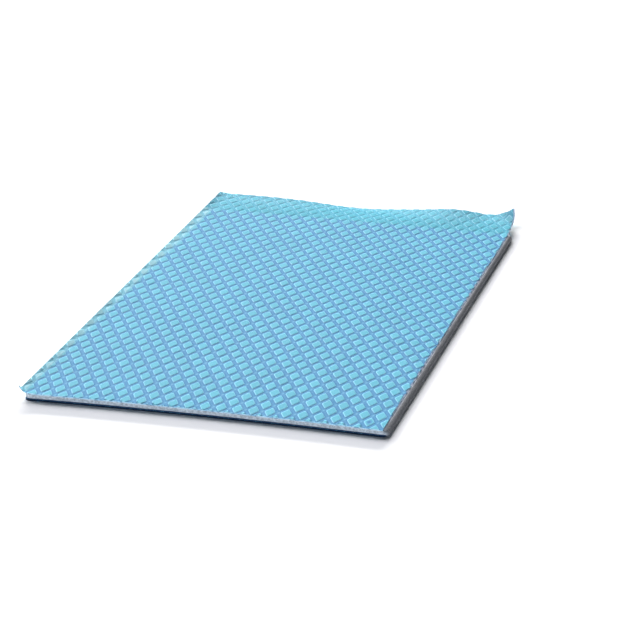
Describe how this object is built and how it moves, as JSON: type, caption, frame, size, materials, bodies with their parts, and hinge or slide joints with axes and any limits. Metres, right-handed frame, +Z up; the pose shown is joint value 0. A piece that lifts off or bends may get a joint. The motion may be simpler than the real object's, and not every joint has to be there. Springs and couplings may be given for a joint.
{
  "type": "thermal pad sheet",
  "caption": "Soft grey thermal interface sheet between two thin embossed blue carrier films, stored lying flat.",
  "frame": {"origin": "middle of the underside, on the floor under the middle of the silicone pad", "axes": "+X along the short edge, +Y along the long edge towards the free end of the top film, +Z up through the thickness"},
  "size_m": [0.0465, 0.095, 0.0022],
  "materials": {
    "silicone": "matt mottled silicone with knife-cut sides",
    "top_film": "thin see-through blue film with diamond emboss",
    "bottom_film": "thin see-through blue film with diamond emboss"
  },
  "bodies": {
    "root": {"silicone_pad": "silicone", "top_film": "top_film", "bottom_film": "bottom_film"}
  },
  "joints": []
}
